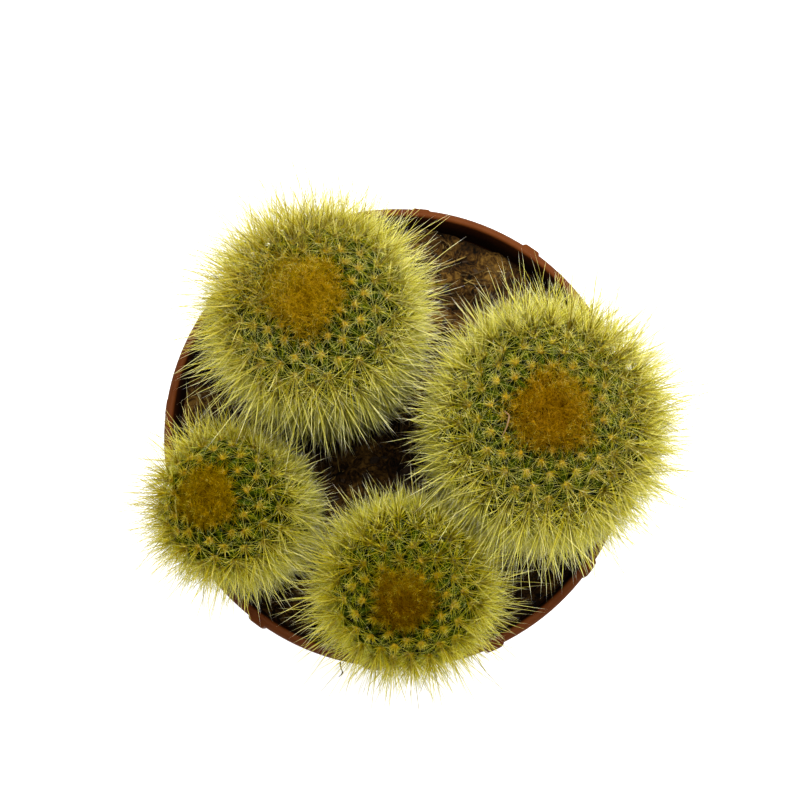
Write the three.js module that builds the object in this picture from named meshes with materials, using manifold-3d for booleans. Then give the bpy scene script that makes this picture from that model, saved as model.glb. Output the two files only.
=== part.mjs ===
// A potted round cactus. Four short columnar stems with golden spines grow out of dark soil
// in a round nursery pot of brown plastic. Millimetres, +Z up, with the origin at the middle
// of the pot's underside and +Y towards the back of the plant.
import * as THREE from 'three';
import { mergeVertices } from 'three/addons/utils/BufferGeometryUtils.js';
import Module from 'manifold-3d';

// Gap between two pieces that touch in the real object.
const CLEARANCE = 0.3;

// The pot: a tapered wall, a wider collar at the top and a floor with a raised channel.
const RIM_RADIUS = 60;
const POT_HEIGHT = 92;
const RIM_WIDTH = 2.4;
const RIM_ROUND = 0.7;
const COLLAR_HEIGHT = 11.5;
const COLLAR_FOOT_RADIUS = 58.6;
const COLLAR_SHELF = 1.2;
const COLLAR_WALL = 1.8;
const WALL_TOP_RADIUS = 56.2;
const BASE_RADIUS = 42.5;
const WALL = 1.6;
const FLOOR = 1.7;
const BASE_ROUND = 0.8;
const DISC_RADIUS = 15;
const CHANNEL_RISE = 2.5;
const CHANNEL_OUTER_RADIUS = 36;
const RAMP_SHIFT = 0.4;
const POT_SIDES = 40;
const DRAIN_RADIUS = 3.5;
const DRAIN_CIRCLE = 26;
const DRAIN_COUNT = 8;
const DRAIN_SIDES = 10;
const DRILL_LENGTH = 7;

// Small lugs stand out of the rim, one every 30 degrees.
const LUG_COUNT = 12;
const LUG_FIRST_DEGREES = 24;
const LUG_LENGTH = 5.7;
const LUG_PROUD = 0.75;
const LUG_HEIGHT = 6;
const LUG_TAPER = 0.8;
const LUG_HEEL = 0.1;

// The soil: filled to a few millimetres under the rim, with a rough top.
const SOIL_LEVEL = 85;
const SOIL_EDGE_DROP = 0.8;
const SOIL_RINGS = [0.25, 0.47, 0.68, 0.86];
const CHIP_COUNT = 11;
const CHIP_SEED = 11;
const CHIP_AREA_RADIUS = 50;
const CHIP_STEM_GAP = 5;
const CHIP_SPACING = 5;
const CHIP_HALF_LENGTHS = [2.2, 3.6];
const CHIP_HALF_WIDTHS = [1.3, 2.2];
const CHIP_HALF_HEIGHTS = [0.9, 1.3];
const CHIP_TILT_DEGREES = 15;
const CHIP_LIFT = 0.2;
const CLODS = [
  { height: 0.6, length: 43, heading: 20, start: 0.1 },
  { height: 0.5, length: 31, heading: 95, start: 0.4 },
  { height: 0.35, length: 19, heading: 50, start: 0.7 },
  { height: 0.3, length: 17, heading: 140, start: 0.2 },
];
const EDGE_SMOOTHING = 0.5;

// The stems. Each stands in a plain hole in the soil, upright at its foot, and leans to its
// crown. base is its place at soil level, apex the middle of its crown.
const STEMS = [
  {
    name: 'stem_back_left', base: [-15.4, 18.1], apex: [-20.5, 17.9, 156],
    radius: 20.8, crownRadius: 8.2, ribs: 28, longest: 15, seed: 3,
  },
  {
    name: 'stem_right', base: [33.4, -6.1], apex: [33.3, -9.0, 158],
    radius: 23.8, crownRadius: 8.2, ribs: 30, longest: 15, seed: 5,
  },
  {
    name: 'stem_front_left', base: [-33.8, -22.8], apex: [-43.2, -24.0, 136],
    radius: 15.0, crownRadius: 6.6, ribs: 22, longest: 11.5, seed: 7,
  },
  {
    name: 'stem_front', base: [3.2, -36.9], apex: [1.3, -47.6, 142],
    radius: 17.0, crownRadius: 6.2, ribs: 24, longest: 12.5, seed: 9,
  },
];
const UPRIGHT_SHARE = 0.45;
const FOOT_SWELL = 0.74;
const SWELL_POWER = 0.8;
const DOME = 0.85;
const RIB_DEPTH = 1.7;
const RIB_START = 4;
const ROOT_DEPTH = 12;
const ROOT_NECK_DEPTH = 5;
const ROOT_TIP_SHARE = 0.4;
const ROOT_NECK_SHARE = 0.63;
const FIRST_ROW = 4.5;
const ROW_SPACING = 6.3;
const CROWN_RING_SHARES = [0.62, 0.3];
const CROWN_SINK = 0.05;
const HOLE_SIDES = 24;
const HOLE_ABOVE_SOIL = 6;

// The spines: three-sided needles that grow from the skin on the ribs.
const SPINE_ROOT_RADIUS = 0.42;
const SHORTEST_SPINE = 3;
const CROWN_SPINE = 4;
const NEW_SPINE = 6.5;
const SPINE_GROWTH_BAND = 14;
const SPINE_LENGTH_SPREAD = 0.16;
const SPINE_DROOP_DEGREES = 10;
const SPINE_SPREAD_DEGREES = 11;
const SPINE_SPACING = 0.95;
const SPINE_TRIES = 12;
const SPINE_STEP = 0.75;
const BEND_STEP_DEGREES = 12;
const BEND_STEPS = 7;
const SHORTENING_ALLOWED = 0.85;
const NEIGHBOUR_MARGIN = 0.8;
const POT_MARGIN = 1.4;
const SOIL_MARGIN = 3;
const BALL_SPACING = 2;

const UP = new THREE.Vector3(0, 0, 1);
const MERGE_TOLERANCE = 1e-4;

const wasm = await Module();
wasm.setup();

// A number from 0 to 1 that is the same on every run for the same seed.
function seededRandom(seed) {
  let state = seed;
  return () => {
    state = (state + 0x6d2b79f5) | 0;
    let mixed = Math.imul(state ^ (state >>> 15), 1 | state);
    mixed = (mixed + Math.imul(mixed ^ (mixed >>> 7), 61 | mixed)) ^ mixed;
    return ((mixed ^ (mixed >>> 14)) >>> 0) / 2 ** 32;
  };
}

// The solid inside a closed geometry, for joining and cutting.
function solidOf(geometry) {
  const shell = geometry.clone();
  shell.deleteAttribute('normal');
  shell.deleteAttribute('uv');
  const merged = mergeVertices(shell, MERGE_TOLERANCE);
  const index = merged.index.array;
  const triangles = [];
  for (let i = 0; i < index.length; i += 3) {
    const [a, b, c] = [index[i], index[i + 1], index[i + 2]];
    if (a !== b && b !== c && c !== a) triangles.push(a, b, c);
  }
  return new wasm.Manifold(new wasm.Mesh({
    numProp: 3,
    vertProperties: Float32Array.from(merged.attributes.position.array),
    triVerts: Uint32Array.from(triangles),
  }));
}

// The geometry of a solid's surface.
function geometryOf(solid) {
  const mesh = solid.getMesh();
  const geometry = new THREE.BufferGeometry();
  geometry.setAttribute('position', new THREE.BufferAttribute(mesh.vertProperties, 3));
  geometry.setIndex(new THREE.BufferAttribute(mesh.triVerts, 1));
  geometry.computeVertexNormals();
  return geometry;
}

// A solid turned about the vertical axis from pairs of radius and height.
function turned(profile, sides) {
  const points = profile.map(([radius, height]) => new THREE.Vector2(radius, height));
  return new THREE.LatheGeometry(points, sides).rotateX(Math.PI / 2);
}

// Pot

const collarFoot = POT_HEIGHT - COLLAR_HEIGHT;
const rimInnerRadius = RIM_RADIUS - RIM_WIDTH;
const collarInnerRadius = COLLAR_FOOT_RADIUS - COLLAR_WALL;
const ringInnerRadius = CHANNEL_OUTER_RADIUS + CHANNEL_RISE;

// Radius of the pot's inner wall at a height.
function innerRadiusAt(z) {
  const innerCollarFoot = collarFoot + COLLAR_SHELF;
  if (z > innerCollarFoot) {
    const share = (z - innerCollarFoot) / (POT_HEIGHT - innerCollarFoot);
    return THREE.MathUtils.lerp(collarInnerRadius, rimInnerRadius, Math.min(share, 1));
  }
  return THREE.MathUtils.lerp(BASE_RADIUS, WALL_TOP_RADIUS, z / collarFoot) - WALL;
}

function potGeometry() {
  const outer = [
    [0, 0],
    [DISC_RADIUS, 0],
    [DISC_RADIUS + CHANNEL_RISE, CHANNEL_RISE],
    [CHANNEL_OUTER_RADIUS, CHANNEL_RISE],
    [ringInnerRadius, 0],
    [BASE_RADIUS - BASE_ROUND, 0],
    [BASE_RADIUS, BASE_ROUND],
    [WALL_TOP_RADIUS, collarFoot],
    [COLLAR_FOOT_RADIUS, collarFoot + COLLAR_SHELF],
    [RIM_RADIUS, POT_HEIGHT - RIM_ROUND],
    [RIM_RADIUS - RIM_ROUND, POT_HEIGHT],
  ];
  const inner = [
    [rimInnerRadius + RIM_ROUND, POT_HEIGHT],
    [rimInnerRadius, POT_HEIGHT - RIM_ROUND],
    [collarInnerRadius, collarFoot + COLLAR_SHELF],
    [innerRadiusAt(collarFoot - COLLAR_SHELF), collarFoot - COLLAR_SHELF],
    [innerRadiusAt(FLOOR), FLOOR],
    [ringInnerRadius + RAMP_SHIFT, FLOOR],
    [CHANNEL_OUTER_RADIUS + RAMP_SHIFT, CHANNEL_RISE + FLOOR],
    [DISC_RADIUS + CHANNEL_RISE - RAMP_SHIFT, CHANNEL_RISE + FLOOR],
    [DISC_RADIUS - RAMP_SHIFT, FLOOR],
    [0, FLOOR],
  ];
  let pot = solidOf(turned([...outer, ...inner], POT_SIDES));
  for (let i = 0; i < DRAIN_COUNT; i += 1) {
    const angle = (i + 0.5) * (2 * Math.PI / DRAIN_COUNT);
    const drill = new THREE.CylinderGeometry(DRAIN_RADIUS, DRAIN_RADIUS, DRILL_LENGTH, DRAIN_SIDES);
    drill.rotateX(Math.PI / 2);
    drill.translate(DRAIN_CIRCLE, 0, CHANNEL_RISE + FLOOR / 2);
    drill.rotateZ(angle);
    pot = pot.subtract(solidOf(drill));
  }
  for (let i = 0; i < LUG_COUNT; i += 1) {
    const angle = THREE.MathUtils.degToRad(LUG_FIRST_DEGREES + i * 360 / LUG_COUNT);
    pot = pot.add(solidOf(lugGeometry().rotateZ(angle)));
  }
  return geometryOf(pot);
}

// One lug, on the +X side of the rim: flat on top, tapered at both ends, its back in the rim.
function lugGeometry() {
  const back = RIM_RADIUS - RIM_WIDTH / 2;
  const front = RIM_RADIUS + LUG_PROUD;
  const half = LUG_LENGTH / 2;
  const outline = new THREE.Shape();
  outline.moveTo(back, -half);
  outline.lineTo(RIM_RADIUS - LUG_HEEL, -half);
  outline.lineTo(front, -half + LUG_TAPER);
  outline.lineTo(front, half - LUG_TAPER);
  outline.lineTo(RIM_RADIUS - LUG_HEEL, half);
  outline.lineTo(back, half);
  outline.closePath();
  const lug = new THREE.ExtrudeGeometry(outline, { depth: LUG_HEIGHT, bevelEnabled: false });
  return lug.translate(0, 0, POT_HEIGHT - RIM_ROUND - LUG_HEIGHT);
}

// Stems

// Adds to a stem the curve of its axis, and how far over the skin from the soil the dome, the
// woolly crown and the apex lie. domeRadius is the mean of the dome's two radii.
function withAxis(stem) {
  const foot = new THREE.Vector3(stem.base[0], stem.base[1], SOIL_LEVEL);
  const apex = new THREE.Vector3(...stem.apex);
  const rise = apex.z - foot.z;
  const corner = foot.clone().addScaledVector(UP, rise * UPRIGHT_SHARE);
  const axis = new THREE.QuadraticBezierCurve3(foot, corner, apex);
  const length = axis.getLength();
  const lean = apex.clone().sub(foot).setZ(0).normalize();
  const side = new THREE.Vector3().crossVectors(UP, lean);
  const shoulder = length - DOME * stem.radius;
  const domeRadius = stem.radius * (1 + DOME) / 2;
  const crownStart = shoulder + domeRadius * Math.acos(stem.crownRadius / stem.radius);
  const crownEnd = shoulder + domeRadius * Math.PI / 2;
  return { ...stem, axis, length, side, shoulder, domeRadius, crownStart, crownEnd };
}

// Point and directions on a stem's axis at a height along it, straight down below the soil.
function axisAt(stem, height) {
  const share = THREE.MathUtils.clamp(height / stem.length, 0, 1);
  const centre = stem.axis.getPointAt(share);
  const along = stem.axis.getTangentAt(share);
  if (height < 0) centre.z += height;
  const out = new THREE.Vector3().crossVectors(stem.side, along);
  return { centre, along, out };
}

// Height, radius and outward slope of a stem's outline at a distance over its skin.
function outlineAt(stem, distance) {
  if (distance < stem.shoulder) {
    const share = Math.sin(Math.max(distance, 0) / stem.shoulder * Math.PI / 2);
    const swell = FOOT_SWELL + (1 - FOOT_SWELL) * share ** SWELL_POWER;
    return { height: distance, radius: stem.radius * swell, rise: 0 };
  }
  const angle = Math.min((distance - stem.shoulder) / stem.domeRadius, Math.PI / 2);
  const height = stem.shoulder + DOME * stem.radius * Math.sin(angle);
  const rise = Math.atan2(Math.sin(angle), DOME * Math.cos(angle));
  return { height, radius: stem.radius * Math.cos(angle), rise };
}

// A point on a stem's skin, with the outward direction and the direction down the rib there.
function skinPoint(stem, distance, turn, depth) {
  const outline = outlineAt(stem, distance);
  const { centre, along, out } = axisAt(stem, outline.height);
  const angle = turn * 2 * Math.PI;
  const radial = out.clone().multiplyScalar(Math.cos(angle));
  radial.addScaledVector(stem.side, Math.sin(angle));
  const point = centre.clone().addScaledVector(radial, outline.radius - depth);
  const outward = radial.clone().multiplyScalar(Math.cos(outline.rise));
  outward.addScaledVector(along, Math.sin(outline.rise));
  const down = radial.clone().multiplyScalar(Math.sin(outline.rise));
  down.addScaledVector(along, -Math.cos(outline.rise));
  return { point, outward, down };
}

// How far a point lies outside a stem's body.
function distanceFromStem(stem, point) {
  let nearest = Infinity;
  for (const ball of stem.balls) {
    nearest = Math.min(nearest, ball.centre.distanceTo(point) - ball.radius);
  }
  return nearest;
}

// Balls along the axis that fill a stem's body, which the distance is measured from.
function ballsIn(stem) {
  const balls = [];
  for (let distance = 0; distance < stem.crownStart; distance += BALL_SPACING) {
    const { height, radius } = outlineAt(stem, distance);
    balls.push({ centre: axisAt(stem, height).centre, radius });
  }
  return balls;
}

const stems = STEMS.map(withAxis);
for (const stem of stems) {
  stem.balls = ballsIn(stem);
}

// A spine may pass here: nearer its own stem than any other, off the soil and off the pot.
function isFree(stem, point) {
  const own = distanceFromStem(stem, point);
  for (const other of stems) {
    if (other !== stem && distanceFromStem(other, point) < own + NEIGHBOUR_MARGIN) return false;
  }
  const reach = Math.hypot(point.x, point.y);
  if (reach > RIM_RADIUS + LUG_PROUD + POT_MARGIN) return true;
  if (point.z < POT_HEIGHT + POT_MARGIN && reach > innerRadiusAt(point.z) - POT_MARGIN) return false;
  return point.z > SOIL_LEVEL + SOIL_MARGIN;
}

// How far a spine can grow from its root before something is in its way.
function freeLength(stem, root, direction, wanted) {
  const point = new THREE.Vector3();
  let length = 0;
  while (length < wanted) {
    point.copy(root).addScaledVector(direction, length + SPINE_STEP);
    if (!isFree(stem, point)) return length;
    length += SPINE_STEP;
  }
  return wanted;
}

// Whether a spine would come too close to one that has already grown.
function isCrowded(spines, root, tip) {
  const point = new THREE.Vector3();
  const nearest = new THREE.Vector3();
  const steps = Math.ceil(root.distanceTo(tip) / SPINE_STEP);
  for (const spine of spines) {
    for (let i = 0; i <= steps; i += 1) {
      point.lerpVectors(root, tip, i / steps);
      spine.closestPointToPoint(point, true, nearest);
      if (nearest.distanceTo(point) < SPINE_SPACING) return true;
    }
  }
  return false;
}

// The tip of a spine that grows from a place on the skin, bent up where its way is blocked.
function spineTip(stem, spines, place, wanted, droop, random) {
  for (let attempt = 0; attempt < SPINE_TRIES; attempt += 1) {
    const spread = THREE.MathUtils.degToRad(SPINE_SPREAD_DEGREES) * (1 - attempt / SPINE_TRIES);
    const sideways = new THREE.Vector3().crossVectors(place.outward, place.down);
    const direction = place.outward.clone();
    direction.applyAxisAngle(sideways, droop + (random() - 0.5) * 2 * spread);
    direction.applyAxisAngle(place.outward, (random() - 0.5) * 2 * spread);
    let best = null;
    let bestLength = 0;
    for (let step = 0; step <= BEND_STEPS && bestLength < wanted * SHORTENING_ALLOWED; step += 1) {
      const bend = -THREE.MathUtils.degToRad(step * BEND_STEP_DEGREES);
      const bent = direction.clone().applyAxisAngle(sideways, bend);
      const length = freeLength(stem, place.point, bent, wanted);
      if (length > bestLength) {
        bestLength = length;
        best = bent;
      }
    }
    if (bestLength < SHORTEST_SPINE) continue;
    const tip = place.point.clone().addScaledVector(best, bestLength);
    if (!isCrowded(spines, place.point, tip)) return tip;
  }
  return null;
}

// Joins two rings of corners that run the same way round, whatever their counts.
function bridgeRings(faces, lower, upper) {
  let i = 0;
  let j = 0;
  while (i < lower.length || j < upper.length) {
    const lowerNext = (i + 1) / lower.length;
    const upperNext = (j + 1) / upper.length;
    const here = lower[i % lower.length];
    const above = upper[j % upper.length];
    if (j >= upper.length || (i < lower.length && lowerNext <= upperNext)) {
      faces.push([here, lower[(i + 1) % lower.length], above]);
      i += 1;
    } else {
      faces.push([here, upper[(j + 1) % upper.length], above]);
      j += 1;
    }
  }
}

// Closes a ring with a fan of faces to one corner.
function closeRing(faces, ring, corner, facesUp) {
  for (let i = 0; i < ring.length; i += 1) {
    const next = ring[(i + 1) % ring.length];
    faces.push(facesUp ? [corner, ring[i], next] : [corner, next, ring[i]]);
  }
}

// Opens a corner of the skin into a small triangle and draws it out to the spine's tip.
function growSpine(corners, faces, facesAt, corner, place, tip) {
  const old = facesAt[corner];
  const nextOf = new Map();
  for (const face of old) {
    const at = faces[face].indexOf(corner);
    nextOf.set(faces[face][(at + 1) % 3], { next: faces[face][(at + 2) % 3], face });
  }
  const sideways = new THREE.Vector3().crossVectors(place.outward, place.down);
  const angleOf = (point) => {
    const arm = point.clone().sub(place.point);
    return Math.atan2(arm.dot(sideways), arm.dot(place.down));
  };
  const roots = [corner];
  for (let i = 0; i < 3; i += 1) {
    const angle = i * 2 * Math.PI / 3;
    const root = place.point.clone();
    root.addScaledVector(place.down, SPINE_ROOT_RADIUS * Math.cos(angle));
    root.addScaledVector(sideways, SPINE_ROOT_RADIUS * Math.sin(angle));
    if (i > 0) roots.push(corners.length);
    corners[roots[i]] = root;
  }
  const nearestRoot = (face, from, to) => {
    const middle = corners[from].clone().add(corners[to]).multiplyScalar(0.5);
    return Math.round(angleOf(middle) / (2 * Math.PI / 3) + 3) % 3;
  };
  const rim = [];
  let walk = nextOf.keys().next().value;
  for (let i = 0; i < old.length; i += 1) {
    const { next, face } = nextOf.get(walk);
    rim.push({ from: walk, face, root: nearestRoot(face, walk, next) });
    walk = next;
  }
  const addFace = (triple) => {
    faces.push(triple);
    for (const each of triple) {
      facesAt[each] = facesAt[each] ?? [];
      facesAt[each].push(faces.length - 1);
    }
  };
  facesAt[corner] = [];
  for (let i = 0; i < rim.length; i += 1) {
    const { from, face, root } = rim[i];
    const before = rim[(i + rim.length - 1) % rim.length];
    faces[face][faces[face].indexOf(corner)] = roots[root];
    facesAt[roots[root]] = facesAt[roots[root]] ?? [];
    facesAt[roots[root]].push(face);
    for (let at = before.root; at !== root; at = (at + 1) % 3) {
      addFace([roots[at], from, roots[(at + 1) % 3]]);
    }
  }
  const point = corners.length;
  corners.push(tip);
  for (let i = 0; i < 3; i += 1) {
    addFace([roots[i], roots[(i + 1) % 3], point]);
  }
}

// A whole stem: root stub, ribbed body, flat woolly crown, and a spine on every rib at each row.
function stemGeometry(stem) {
  const random = seededRandom(stem.seed);
  const corners = [];
  const faces = [];
  const spineSites = [];
  const ring = (count, place) => {
    const indices = [];
    for (let i = 0; i < count; i += 1) {
      indices.push(corners.length);
      corners.push(place(i));
    }
    return indices;
  };
  const rootRing = (depth, share) => ring(stem.ribs, (i) => {
    const { point } = skinPoint(stem, -depth, i / stem.ribs, stem.radius * (FOOT_SWELL - share));
    return point;
  });

  const tipRing = rootRing(ROOT_DEPTH, ROOT_TIP_SHARE);
  corners.push(new THREE.Vector3(stem.base[0], stem.base[1], SOIL_LEVEL - ROOT_DEPTH));
  closeRing(faces, tipRing, corners.length - 1, false);
  const neckRing = rootRing(ROOT_NECK_DEPTH, ROOT_NECK_SHARE);
  bridgeRings(faces, tipRing, neckRing);
  const soilRing = rootRing(0, FOOT_SWELL);
  bridgeRings(faces, neckRing, soilRing);

  const { crownStart, crownEnd } = stem;
  const rows = Math.floor((crownStart - FIRST_ROW) / ROW_SPACING) + 1;
  const rowStep = (crownStart - FIRST_ROW) / (rows - 0.5);
  let below = soilRing;
  for (let row = 0; row < rows; row += 1) {
    const rowRing = ring(2 * stem.ribs, (i) => {
      const onRidge = i % 2 === 0;
      const stagger = [0, 0.25, 0.5, 0.25][i % 4];
      const distance = FIRST_ROW + (row + stagger) * rowStep;
      const fade = Math.min(distance / RIB_START, 1) * outlineAt(stem, distance).radius / stem.radius;
      const turn = i / (2 * stem.ribs);
      const place = skinPoint(stem, distance, turn, onRidge ? 0 : RIB_DEPTH * fade);
      if (onRidge) spineSites.push({ corner: corners.length, place, toCrown: crownStart - distance });
      return place.point;
    });
    bridgeRings(faces, below, rowRing);
    below = rowRing;
  }

  // The crown: two rings that close in on a middle that is sunk a little.
  const crownRing = (count, share) => ring(count, (i) => {
    const distance = crownEnd - (crownEnd - crownStart) * share;
    const place = skinPoint(stem, distance, i / count, 0);
    if (i % 2 === 0) spineSites.push({ corner: corners.length, place, toCrown: -1 });
    return place.point;
  });
  const outerCrown = crownRing(stem.ribs, CROWN_RING_SHARES[0]);
  bridgeRings(faces, below, outerCrown);
  const innerCrown = crownRing(stem.ribs / 2, CROWN_RING_SHARES[1]);
  bridgeRings(faces, outerCrown, innerCrown);
  const apex = skinPoint(stem, crownEnd, 0, 0);
  corners.push(apex.point.addScaledVector(apex.outward, -CROWN_SINK * stem.radius));
  closeRing(faces, innerCrown, corners.length - 1, true);

  const facesAt = corners.map(() => []);
  faces.forEach((face, i) => face.forEach((corner) => facesAt[corner].push(i)));
  const spines = [];
  for (const { corner, place, toCrown } of spineSites) {
    const grown = THREE.MathUtils.smoothstep(toCrown, 0, SPINE_GROWTH_BAND);
    const full = toCrown < 0 ? CROWN_SPINE : THREE.MathUtils.lerp(NEW_SPINE, stem.longest, grown);
    const wanted = full * (1 + (random() - 0.5) * 2 * SPINE_LENGTH_SPREAD);
    const droop = THREE.MathUtils.degToRad(SPINE_DROOP_DEGREES) * grown;
    const tip = spineTip(stem, spines, place, wanted, droop, random);
    if (tip === null) continue;
    spines.push(new THREE.Line3(place.point.clone(), tip));
    growSpine(corners, faces, facesAt, corner, place, tip);
  }

  const geometry = new THREE.BufferGeometry();
  geometry.setFromPoints(corners);
  geometry.setIndex(faces.flat());
  geometry.computeVertexNormals();
  return geometry;
}

// Soil

// Height of the rough top of the soil at a place.
function soilTopAt(x, y) {
  const reach = Math.hypot(x, y) / innerRadiusAt(SOIL_LEVEL);
  let clods = 0;
  for (const { height, length, heading, start } of CLODS) {
    const angle = THREE.MathUtils.degToRad(heading);
    const along = x * Math.cos(angle) + y * Math.sin(angle);
    clods += height * Math.sin(2 * Math.PI * (along / length + start));
  }
  return SOIL_LEVEL - SOIL_EDGE_DROP * reach ** 4 + clods * (1 - EDGE_SMOOTHING * reach);
}

// The hole that a stem's foot stands in: its own outline with the clearance round it.
function holeGeometry(stem) {
  const foot = stem.radius * FOOT_SWELL;
  const top = outlineAt(stem, HOLE_ABOVE_SOIL).radius + 2 * CLEARANCE;
  const profile = [
    [0, -ROOT_DEPTH - CLEARANCE],
    [stem.radius * ROOT_TIP_SHARE + CLEARANCE, -ROOT_DEPTH - CLEARANCE],
    [stem.radius * ROOT_NECK_SHARE + CLEARANCE, -ROOT_NECK_DEPTH],
    [foot + CLEARANCE, -CLEARANCE],
    [top, HOLE_ABOVE_SOIL],
    [0, HOLE_ABOVE_SOIL],
  ];
  return turned(profile, HOLE_SIDES).translate(stem.base[0], stem.base[1], SOIL_LEVEL);
}

// Flat chips of bark and coir husk that lie half sunk in the top of the soil.
function chipGeometries() {
  const random = seededRandom(CHIP_SEED);
  const between = ([least, most]) => THREE.MathUtils.lerp(least, most, random());
  const tilt = THREE.MathUtils.degToRad(CHIP_TILT_DEGREES);
  const places = [];
  const chips = [];
  while (chips.length < CHIP_COUNT) {
    const angle = random() * 2 * Math.PI;
    const reach = CHIP_AREA_RADIUS * Math.sqrt(random());
    const place = new THREE.Vector2(reach * Math.cos(angle), reach * Math.sin(angle));
    const offStems = stems.every(({ base, radius }) => (
      place.distanceTo(new THREE.Vector2(...base)) > radius * FOOT_SWELL + CHIP_STEM_GAP
    ));
    const offChips = places.every((other) => place.distanceTo(other) > CHIP_SPACING);
    const chip = new THREE.IcosahedronGeometry(1, 0);
    chip.scale(between(CHIP_HALF_LENGTHS), between(CHIP_HALF_WIDTHS), between(CHIP_HALF_HEIGHTS));
    chip.rotateX(between([-tilt, tilt]));
    chip.rotateZ(between([0, Math.PI]));
    chip.translate(place.x, place.y, soilTopAt(place.x, place.y) + CHIP_LIFT);
    if (!offStems || !offChips) continue;
    places.push(place);
    chips.push(chip);
  }
  return chips;
}

function soilGeometry() {
  const underCollar = collarFoot - COLLAR_SHELF;
  const inset = RAMP_SHIFT + CLEARANCE;
  const side = [
    [0, FLOOR + CLEARANCE],
    [DISC_RADIUS - inset, FLOOR + CLEARANCE],
    [DISC_RADIUS + CHANNEL_RISE - inset, CHANNEL_RISE + FLOOR + CLEARANCE],
    [CHANNEL_OUTER_RADIUS + inset, CHANNEL_RISE + FLOOR + CLEARANCE],
    [ringInnerRadius + inset, FLOOR + CLEARANCE],
    [innerRadiusAt(FLOOR) - CLEARANCE, FLOOR + CLEARANCE],
    [innerRadiusAt(underCollar) - CLEARANCE, underCollar],
    [collarInnerRadius - CLEARANCE, collarFoot + COLLAR_SHELF],
  ];
  const edge = innerRadiusAt(SOIL_LEVEL) - CLEARANCE;
  const top = [1, ...SOIL_RINGS.toReversed(), 0].map((share) => [edge * share, SOIL_LEVEL]);
  const rough = turned([...side, ...top], POT_SIDES);
  const position = rough.attributes.position;
  for (let i = 0; i < position.count; i += 1) {
    if (position.getZ(i) >= SOIL_LEVEL) {
      position.setZ(i, soilTopAt(position.getX(i), position.getY(i)));
    }
  }
  let soil = solidOf(rough);
  for (const chip of chipGeometries()) {
    soil = soil.add(solidOf(chip));
  }
  for (const stem of stems) {
    soil = soil.subtract(solidOf(holeGeometry(stem)));
  }
  return geometryOf(soil);
}

// The finished plant

const potPlastic = new THREE.MeshStandardMaterial({ color: 0x80472a, roughness: 0.5, metalness: 0 });
const pottingMix = new THREE.MeshStandardMaterial({ color: 0x351f0a, roughness: 1, metalness: 0 });
const spinySkin = new THREE.MeshStandardMaterial({ color: 0xaea63c, roughness: 0.7, metalness: 0 });

function piece(name, geometry, material) {
  const mesh = new THREE.Mesh(geometry, material);
  mesh.name = name;
  return mesh;
}

const cactus = new THREE.Group();
cactus.add(piece('pot', potGeometry(), potPlastic));
cactus.add(piece('soil', soilGeometry(), pottingMix));
for (const stem of stems) {
  cactus.add(piece(stem.name, stemGeometry(stem), spinySkin.clone()));
}

export default cactus;
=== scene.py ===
import math

import bpy
import numpy as np
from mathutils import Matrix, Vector, noise


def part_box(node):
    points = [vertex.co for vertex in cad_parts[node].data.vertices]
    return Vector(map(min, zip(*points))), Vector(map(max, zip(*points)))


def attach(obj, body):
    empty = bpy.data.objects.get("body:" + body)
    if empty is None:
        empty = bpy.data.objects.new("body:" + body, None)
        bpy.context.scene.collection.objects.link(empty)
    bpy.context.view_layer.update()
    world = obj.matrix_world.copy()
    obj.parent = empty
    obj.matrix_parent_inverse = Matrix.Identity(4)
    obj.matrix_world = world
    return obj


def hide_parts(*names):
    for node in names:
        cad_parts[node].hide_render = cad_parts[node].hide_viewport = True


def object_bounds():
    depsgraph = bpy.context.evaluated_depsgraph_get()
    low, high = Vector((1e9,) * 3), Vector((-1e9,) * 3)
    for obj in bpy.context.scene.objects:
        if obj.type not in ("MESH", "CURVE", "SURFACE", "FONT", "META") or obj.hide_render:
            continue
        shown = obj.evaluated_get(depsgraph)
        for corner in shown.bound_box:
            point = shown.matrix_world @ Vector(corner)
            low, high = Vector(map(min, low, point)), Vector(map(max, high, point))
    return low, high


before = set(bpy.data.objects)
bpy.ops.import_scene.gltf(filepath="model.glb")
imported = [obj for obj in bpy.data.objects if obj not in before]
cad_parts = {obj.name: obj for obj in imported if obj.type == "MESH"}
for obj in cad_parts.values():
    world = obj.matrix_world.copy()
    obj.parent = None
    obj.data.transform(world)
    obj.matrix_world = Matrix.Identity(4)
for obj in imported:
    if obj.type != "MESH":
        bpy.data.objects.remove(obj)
cad_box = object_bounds()

# Pot
# A round nursery pot of terracotta-brown polypropylene, injection moulded in one piece: a thin
# tapered wall, a wider collar with small lugs under its rim, and a floor with a raised channel
# where the drain holes are. It stands free on the ring and the middle disc of its floor.
MM = 0.001
RIM_RADIUS = 60 * MM
RIM_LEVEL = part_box("pot")[1].z
RIM_WIDTH = 2.4 * MM
COLLAR_LEVEL = RIM_LEVEL - 11.5 * MM
COLLAR_INNER_RADIUS = 56.8 * MM
WALL_TOP_INNER_RADIUS = 54.6 * MM
BASE_RADIUS = 42.5 * MM
WALL = 1.6 * MM
FLOOR = 1.7 * MM
CHANNEL_RISE = 2.5 * MM
SIDES = 144
LUG_COUNT = 12
LUG_FIRST = math.radians(24.0)
LUG_LENGTH = 5.2 * MM
LUG_FOOT = 6.4 * MM
LUG_RADIUS = 60.6 * MM
LUG_DEPTH = 2.4 * MM
LUG_DROP = 0.35 * MM
LUG_CORNER = 1.3 * MM
WORN_LUGS = {2: 0.35 * MM, 5: 0.6 * MM}
DRAIN_COUNT = 8
DRAIN_RADIUS = 3.5 * MM
DRAIN_CIRCLE = 26 * MM


def activate(piece):
    """Selects one object alone and makes it the active one."""
    bpy.ops.object.select_all(action="DESELECT")
    piece.select_set(True)
    bpy.context.view_layer.objects.active = piece


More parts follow.
